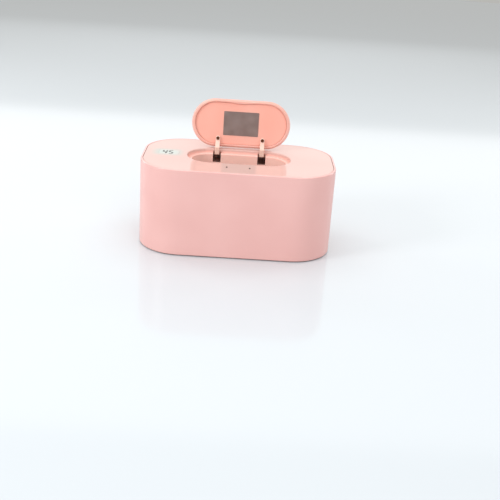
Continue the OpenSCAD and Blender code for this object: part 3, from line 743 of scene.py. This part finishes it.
lidSizes = {  # the lid shut, measured from its pin
    "width": 123.9,
    "depth": 59.8,
    "back": -5.9,
    "top": 4.6,
    "low": 0.0,
    "skin": 1.6,
    "panel": 1.0,
    "panelGap": 0.12,
    "panelSeat": 0.02,  # gap behind the panel
    "panelRound": 0.5,
    "panelSteps": 6,
    "rim": 3.75,
    "rimEnds": 0.8,  # more at the round ends
    "draft": 1.5,
    "draftTurn": 10,  # degrees that the drafted side takes off each outer round
    "topRound": 0.9,
    "lowRound": 0.9,
    "innerRound": 0.8,
    "roundSteps": 7,
    "bumpWidth": 40.0,  # shallow wave in the front of the rim
    "bumpHeight": 1.3,
    # a flat face has one ring near its edge, which keeps its shading flat, and one further in for the cap
    "topHold": 0.3,
    "topCap": 4.0,
    "backCap": 2.0,
    "faceHold": 0.4,
    "faceCap": 3.0,
    "alongSide": 64,
    "alongEnd": 48,
    "smoothBelow": 35,
}


def openLid(piece):
    # pieces of the lid are drawn shut, about the pin, then turned to the open pose in the mesh
    turn = Matrix.Translation(lidPin) @ Matrix.Rotation(-math.radians(lidOpen), 4, "X")
    piece.data.transform(turn)
    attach(piece, "lid")
    return piece


def lidRing(values, inset, z, bumpShare=0.0):
    def shift(x):
        part = min(abs(x) / (values["bumpWidth"] / 2), 1)
        return bumpShare * values["bumpHeight"] * 0.5 * (1 + math.cos(math.pi * part))

    middle = values["back"] - values["depth"] / 2
    steps = values["alongSide"], values["alongEnd"]
    endInset = bumpShare * values["rimEnds"]
    ring = stadiumRing(values["width"], values["depth"], inset, z, *steps, shift, endInset)
    return [(x, y + middle, h) for x, y, h in ring]


def makeLidShell(values):
    top, low, rim = values["top"], values["low"], values["rim"]
    turn, steps = values["draftTurn"], values["roundSteps"]
    r = values["topRound"]
    rings = [lidRing(values, r + values["topCap"], top), lidRing(values, r + values["topHold"], top)]
    for a in arcSteps(90, turn, steps):
        rings.append(lidRing(values, r - r * math.cos(a), top - r + r * math.sin(a)))
    r = values["lowRound"]
    for a in arcSteps(-turn, -90, steps):
        rings.append(lidRing(values, values["draft"] + r - r * math.cos(a), low + r + r * math.sin(a)))
    r = values["innerRound"]
    for a in arcSteps(-90, 0, steps):
        rings.append(lidRing(values, rim - r + r * math.cos(a), low + r + r * math.sin(a), 1))
    under = top - values["skin"]
    rings.append(lidRing(values, rim, under, 1))
    rings.append(lidRing(values, rim + values["backCap"], under))
    grid = bmesh.new()
    loft(grid, rings)
    return openLid(meshPiece("lidShell", grid, "lid_pink", values["smoothBelow"]))


def makeLidPanel(values):
    back = values["top"] - values["skin"] - values["panelSeat"]
    face = values["top"] - values["skin"] - values["panel"]
    edge = values["rim"] + values["panelGap"]
    r = values["panelRound"]
    rings = [lidRing(values, edge + values["backCap"], back), lidRing(values, edge, back, 1)]
    for a in arcSteps(0, 90, values["panelSteps"]):
        rings.append(lidRing(values, edge + r - r * math.cos(a), face + r - r * math.sin(a), 1))
    rings.append(lidRing(values, edge + r + values["faceHold"], face, 1))
    rings.append(lidRing(values, edge + r + values["faceCap"], face))
    grid = bmesh.new()
    loft(grid, rings)
    return openLid(meshPiece("lidPanel", grid, "panel_salmon", values["smoothBelow"]))


lidShell = makeLidShell(lidSizes)
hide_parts("lid_shell")
lidPanel = makeLidPanel(lidSizes)
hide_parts("lid_panel")
print("made the lid")


armSizes = {  # a bent flat bar, open, measured from the pin; its pad is measured on the shut lid
    "pitch": 56.2,
    "width": 5.8,
    "thick": 3.0,
    "flat": 2.2,  # thickness under the screw
    "edge": 0.75,
    "elbowY": -7.3,
    "elbowLow": -0.7,
    "elbowHigh": 6.6,
    "outerBend": 1.5,
    "innerBend": 0.8,
    "bendSteps": 10,
    "padY": -16.9,
    "padTop": 2.0,
    "padLength": 3.8,
    "heelDrop": 0.05,  # clearance between the heel and the panel
    "tipTurn": 86,  # degrees of the pad's round end
    "tipSteps": 12,
    "tipHalf": 0.25,  # half the width left at the very tip
    "hub": 2.4,
    "hubBevel": 0.5,
    "hubBevelSteps": 4,
    "hubSteps": 48,
    "smoothBelow": 50,
}


def turnOpen(y, z):
    a = math.radians(lidOpen)
    return Vector((y * math.cos(a) + z * math.sin(a), -y * math.sin(a) + z * math.cos(a)))


def roundCorners(points, radii, steps, longest=0.45):
    # a path in a plane, its corners turned into arcs that each take at most this share of a straight
    path = [points[0]]
    for before, corner, after, radius in zip(points, points[1:], points[2:], radii):
        back = (before - corner).normalized()
        on = (after - corner).normalized()
        half = back.angle(on) / 2
        room = longest * min((before - corner).length, (after - corner).length)
        run = min(radius / math.tan(half), room)
        r = run * math.tan(half)
        centre = corner + (back + on).normalized() * (r / math.sin(half))
        start, end = corner + back * run - centre, corner + on * run - centre
        first = math.atan2(start.y, start.x)
        turn = math.atan2(end.y, end.x) - first
        turn = (turn + math.pi) % (2 * math.pi) - math.pi
        for i in range(steps + 1):
            a = first + turn * i / steps
            path.append(centre + Vector((math.cos(a), math.sin(a))) * r)
    path.append(points[-1])
    return path


def sidePath(corners, offset, outer, inner, steps):
    # one face of a bent bar: the middle line moved sideways, its corners rounded by the side they are on
    ways = [(b - a).normalized() for a, b in zip(corners, corners[1:])]
    outs = [Vector((way.y, -way.x)) for way in ways]
    points = [corners[0] + outs[0] * offset]
    radii = []
    for corner, way, nextWay, out, nextOut in zip(corners[1:], ways, ways[1:], outs, outs[1:]):
        middle = (out + nextOut).normalized()
        points.append(corner + middle * (offset / middle.dot(out)))
        turn = way.x * nextWay.y - way.y * nextWay.x
        radii.append(outer if turn * offset > 0 else inner)
    points.append(corners[-1] + outs[-1] * offset)
    return roundCorners(points, radii, steps)


def barSection(halfWidth, halfThick, edge, steps=5, roundest=0.98):
    # a rectangle with round corners, as (across, through) pairs
    edge = min(edge, halfWidth * roundest, halfThick * roundest)
    ring = []
    for sx, sy, start in ((1, 1, 0), (-1, 1, 90), (-1, -1, 180), (1, -1, 270)):
        for a in arcSteps(start, start + 90, steps):
            x = sx * (halfWidth - edge) + edge * math.cos(a)
            y = sy * (halfThick - edge) + edge * math.sin(a)
            ring.append((x, y))
    return ring


def barRings(values):
    pad = turnOpen(values["padY"], values["padTop"] - values["flat"] / 2)
    heelTop = values["padTop"] - values["thick"] / 2 - values["heelDrop"]
    heel = turnOpen(values["padY"] + values["padLength"], heelTop)
    elbows = [Vector((values["elbowY"], values[height])) for height in ("elbowLow", "elbowHigh")]
    corners = [Vector((0, 0)), *elbows, heel, pad]
    bends = values["outerBend"], values["innerBend"], values["bendSteps"]
    faces = [sidePath(corners, way * values["thick"] / 2, *bends) for way in (-1, 1)]
    # stations along the bar: its middle, the way through it for each mm of thickness, half its width
    reach = values["width"] / 2
    stations = [((a + b) / 2, (b - a) / values["thick"], reach) for a, b in zip(*faces)]
    padFrom = len(stations) // 2 + 1  # past the elbows
    end, through, reach = stations.pop()
    along = (pad - heel).normalized()
    for a in arcSteps(0, values["tipTurn"], values["tipSteps"]):
        stations.append((end + along * reach * math.sin(a), through, reach * math.cos(a)))
    rings = []
    for i, (middle, through, half) in enumerate(stations):
        onPad = min(max((middle - heel).dot(along) / values["padLength"], 0), 1) if i >= padFrom else 0
        thick = values["thick"] + (values["flat"] - values["thick"]) * onPad
        section = barSection(max(half, values["tipHalf"]), thick / 2, values["edge"])
        rings.append([(x, middle.x + through.x * y, middle.y + through.y * y) for x, y in section])
    return rings


def hubRings(values):
    # a barrel round the pin, as wide as the bar, with bevelled ends
    reach, bevel, hub = values["width"] / 2, values["hubBevel"], values["hub"]
    profile = [
        (-reach + bevel - bevel * math.sin(a), hub - bevel + bevel * math.cos(a))
        for a in arcSteps(90, 0, values["hubBevelSteps"])
    ]
    profile += [(-x, r) for x, r in reversed(profile)]
    turn = circleSteps(values["hubSteps"])
    return [[(x, r * math.cos(a), r * math.sin(a)) for a in turn] for x, r in profile]


def makeArm(name, side, values):
    centreX = side * values["pitch"] / 2
    grid = bmesh.new()
    for rings in (barRings(values), hubRings(values)):
        loft(grid, [[(centreX + x, y, z) for x, y, z in ring] for ring in rings])
    piece = meshPiece(name, grid, "arm_cream", values["smoothBelow"])
    piece.data.transform(Matrix.Translation(lidPin))
    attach(piece, "lid")
    return piece


for side, label in ((-1, "left"), (1, "right")):
    arm = makeArm("gooseNeck_" + label, side, armSizes)
    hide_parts("hinge_arm_" + label)
print("made the arms")


digitSizes = {  # two seven-segment digits on the face of the display
    "text": "45",
    "height": 14.0,
    "width": 4.2,
    "stroke": 2.2,
    "gap": 1.1,
    "lean": 5.0,
    "proud": 0.03,
    "sunk": 0.3,
    "apart": 1.15,  # half strokes from a corner to the end of a bar
    "middle": (-87.4, 2.8),
}
segmentSets = {"4": "bcfg", "5": "acdfg"}  # lit bars, lettered clockwise from the top, the middle one last


def addSegment(grid, start, end, low, high, values):
    # a bar with pointed ends between two points
    a, b = Vector(start), Vector(end)
    along = (b - a).normalized()
    side = Vector((-along.y, along.x)) * values["stroke"] / 2
    tip = along * values["stroke"] / 2
    a, b = a + tip * values["apart"], b - tip * values["apart"]
    outline = [a - tip, a - side, b - side, b + tip, b + side, a + side]
    loft(grid, [[(p.x, p.y, z) for p in outline] for z in (low, high)])


def makeDigits(values):
    grid = bmesh.new()
    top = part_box("display_lens")[1][2] / mm
    low, high = top - values["sunk"], top + values["proud"]
    h, w = values["height"], values["width"]
    ends = {
        "a": ((0, h), (w, h)),
        "b": ((w, h), (w, h / 2)),
        "c": ((w, h / 2), (w, 0)),
        "d": ((0, 0), (w, 0)),
        "e": ((0, h / 2), (0, 0)),
        "f": ((0, h), (0, h / 2)),
        "g": ((0, h / 2), (w, h / 2)),
    }
    pitch = w + values["gap"] + values["stroke"]
    span = len(values["text"]) * pitch - values["gap"] - values["stroke"]
    lean = math.tan(math.radians(values["lean"]))
    for i, digit in enumerate(values["text"]):
        x0 = values["middle"][0] - span / 2 + i * pitch
        y0 = values["middle"][1] - h / 2
        for segment in segmentSets[digit]:
            start, end = [(x0 + x + lean * (y - h / 2), y0 + y) for x, y in ends[segment]]
            addSegment(grid, start, end, low, high, values)
    piece = meshPiece("displayDigits", grid, "lens_white", material=plainFinish("digitInk", digitInk))
    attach(piece, "cover")


makeDigits(digitSizes)
print("made the display digits")


indicatorSizes = {  # slim dark window on each light pipe, just proud of the deck
    "width": 2.0,
    "length": 5.6,
    "brim": 0.06,
    "neck": 0.02,  # how far under the deck the round pipe widens
    "edge": 0.16,
    "edgeFrom": 15,
    "edgeSteps": 5,
    "steps": 32,
    "smoothBelow": 30,
}


def makeIndicator(name, node, values):
    low, high = (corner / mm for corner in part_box(node))
    centre = (low + high) / 2
    shaft = (high.x - low.x) / 2
    half, edge = values["width"] / 2, values["edge"]
    run = values["length"] / 2 - half
    top, brim = high.z, high.z + values["brim"]
    # each ring: radius, how far its ends are pulled apart along Y, height
    profile = [(shaft, 0, low.z), (shaft, 0, top - values["neck"]), (half, run, top), (half, run, brim)]
    for a in arcSteps(values["edgeFrom"], 90, values["edgeSteps"]):
        profile.append((half - edge + edge * math.cos(a), run, brim + edge * math.sin(a)))
    turn = [math.tau * (i + 0.5) / values["steps"] for i in range(values["steps"])]
    rings = []
    for r, pull, z in profile:
        spots = [(r * math.cos(a), r * math.sin(a) + math.copysign(pull, math.sin(a))) for a in turn]
        rings.append([(centre.x + x, centre.y + y, z) for x, y in spots])
    grid = bmesh.new()
    loft(grid, rings)
    piece = meshPiece(name, grid, "pipe_clear", values["smoothBelow"])
    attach(piece, "cover")
    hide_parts(node)


for label in ("left", "right"):
    makeIndicator("indicatorLens_" + label, "light_pipe_" + label, indicatorSizes)
print("made the indicator lenses")


paleLacquer = {  # pale satin-lacquered floor board, which mirrors the body softly
    "colour": "d1d7db",
    "rough": 0.10,
    "ior": 1.45,
    "grain": 3.0,
    "depth": 0.002,
}
floorSizes = {
    "reach": 4.0,  # metres
    "sides": 60,
}


def makeFloor(values, look):
    grid = bmesh.new()
    reach = values["reach"]
    turn = circleSteps(values["sides"])
    grid.faces.new([grid.verts.new((reach * math.cos(a), reach * math.sin(a), 0)) for a in turn])
    data = bpy.data.meshes.new("paleFloor")
    grid.to_mesh(data)
    grid.free()
    floor = bpy.data.objects.new("paleFloor", data)
    bpy.context.scene.collection.objects.link(floor)
    material, tree, shader, places = startMaterial("satinPaleLacquer", look)
    addGrain(tree, shader, places, look)
    dress(floor, material)


studioWorld = {
    "backdrop": "b9b8b4",  # what the camera, mirrors and clear things see
    "fillLight": 0.76,  # strength of the white light that all else gets
}


def makeWorld(values):
    world = bpy.data.worlds.new("studioWorld")
    bpy.context.scene.world = world
    world.use_nodes = True
    tree = world.node_tree
    tree.nodes.clear()
    path = addNode(tree, "ShaderNodeLightPath").outputs
    seen = path["Is Camera Ray"]
    for ray in ("Is Glossy Ray", "Is Transmission Ray"):
        either = addNode(tree, "ShaderNodeMath", links={0: seen, 1: path[ray]}, operation="MAXIMUM")
        seen = either.outputs[0]
    fill = {"Color": (1, 1, 1, 1), "Strength": values["fillLight"]}
    backdrop = {"Color": hexColour(values["backdrop"]), "Strength": 1.0}
    lights = [addNode(tree, "ShaderNodeBackground", look).outputs[0] for look in (fill, backdrop)]
    mix = addNode(tree, "ShaderNodeMixShader", links={0: seen, 1: lights[0], 2: lights[1]})
    addNode(tree, "ShaderNodeOutputWorld", links={"Surface": mix.outputs[0]})


makeCamera(viewCamera)
makeLamps(studioLamps)
makeFloor(floorSizes, paleLacquer)
makeWorld(studioWorld)
bpy.context.scene.view_settings.view_transform = "Standard"
print("set up the camera, lamps, floor and world")
